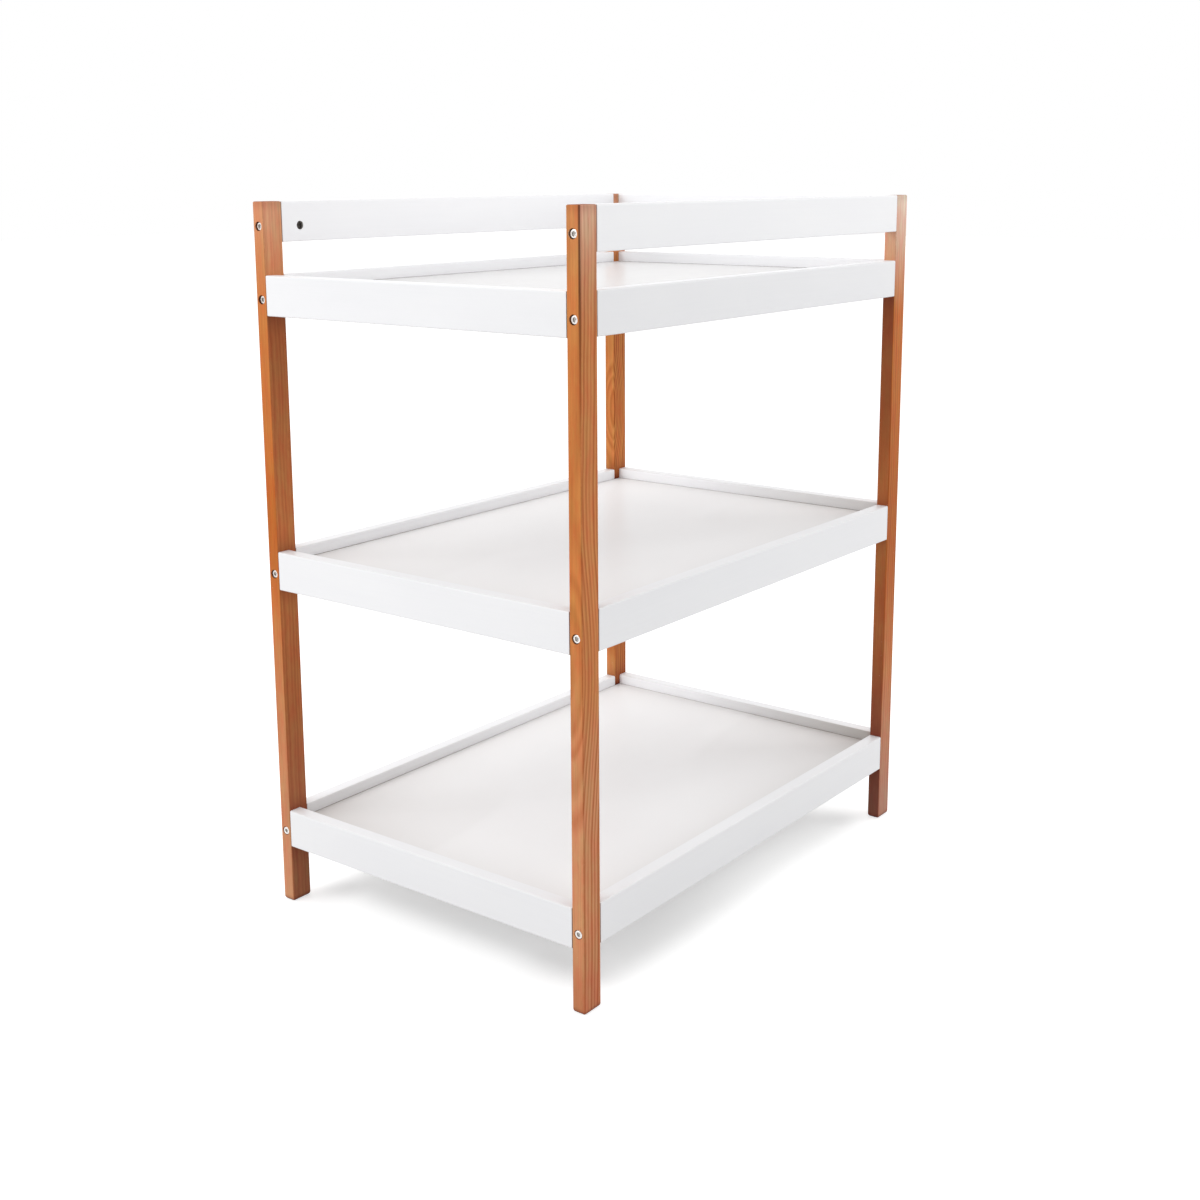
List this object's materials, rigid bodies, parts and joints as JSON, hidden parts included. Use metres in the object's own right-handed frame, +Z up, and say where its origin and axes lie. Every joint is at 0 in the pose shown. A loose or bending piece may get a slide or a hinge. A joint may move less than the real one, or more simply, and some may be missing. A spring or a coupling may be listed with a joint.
{
  "type": "changing table",
  "caption": "Freestanding baby changing table with four pine posts, three white trays and guard rails on three sides of the top tray.",
  "frame": {"origin": "on the floor, under the middle of the table", "axes": "+Z up, X along the long sides with -X the end that has no guard rail, Y along the short ends"},
  "size_m": [0.73, 0.5, 0.9],
  "materials": {
    "stained_pine": "pine, stained reddish brown, satin lacquer",
    "white_lacquer": "board, white lacquer, satin",
    "white_panel": "thin board, white lacquer, semi-gloss",
    "zinc_steel": "zinc-plated steel"
  },
  "bodies": {
    "root": {"bottom_tray_apron_guard": "white_lacquer", "bottom_tray_apron_open": "white_lacquer", "bottom_tray_bolt_guard_left": "zinc_steel", "bottom_tray_bolt_guard_right": "zinc_steel", "bottom_tray_bolt_open_left": "zinc_steel", "bottom_tray_bolt_open_right": "zinc_steel", "bottom_tray_nut_guard_left": "zinc_steel", "bottom_tray_nut_guard_right": "zinc_steel", "bottom_tray_nut_open_left": "zinc_steel", "bottom_tray_nut_open_right": "zinc_steel", "bottom_tray_panel": "white_panel", "bottom_tray_rail_left": "white_lacquer", "bottom_tray_rail_right": "white_lacquer", "guard_bolt_guard_left": "zinc_steel", "guard_bolt_guard_right": "zinc_steel", "guard_bolt_open_left": "zinc_steel", "guard_bolt_open_right": "zinc_steel", "guard_nut_guard_left": "zinc_steel", "guard_nut_guard_right": "zinc_steel", "guard_nut_open_left": "zinc_steel", "guard_nut_open_right": "zinc_steel", "guard_rail_end": "white_lacquer", "guard_rail_left": "white_lacquer", "guard_rail_right": "white_lacquer", "middle_tray_apron_guard": "white_lacquer", "middle_tray_apron_open": "white_lacquer", "middle_tray_bolt_guard_left": "zinc_steel", "middle_tray_bolt_guard_right": "zinc_steel", "middle_tray_bolt_open_left": "zinc_steel", "middle_tray_bolt_open_right": "zinc_steel", "middle_tray_nut_guard_left": "zinc_steel", "middle_tray_nut_guard_right": "zinc_steel", "middle_tray_nut_open_left": "zinc_steel", "middle_tray_nut_open_right": "zinc_steel", "middle_tray_panel": "white_panel", "middle_tray_rail_left": "white_lacquer", "middle_tray_rail_right": "white_lacquer", "post_guard_left": "stained_pine", "post_guard_right": "stained_pine", "post_open_left": "stained_pine", "post_open_right": "stained_pine", "top_tray_apron_guard": "white_lacquer", "top_tray_apron_open": "white_lacquer", "top_tray_bolt_guard_left": "zinc_steel", "top_tray_bolt_guard_right": "zinc_steel", "top_tray_bolt_open_left": "zinc_steel", "top_tray_bolt_open_right": "zinc_steel", "top_tray_nut_guard_left": "zinc_steel", "top_tray_nut_guard_right": "zinc_steel", "top_tray_nut_open_left": "zinc_steel", "top_tray_nut_open_right": "zinc_steel", "top_tray_panel": "white_panel", "top_tray_rail_left": "white_lacquer", "top_tray_rail_right": "white_lacquer"}
  },
  "joints": []
}
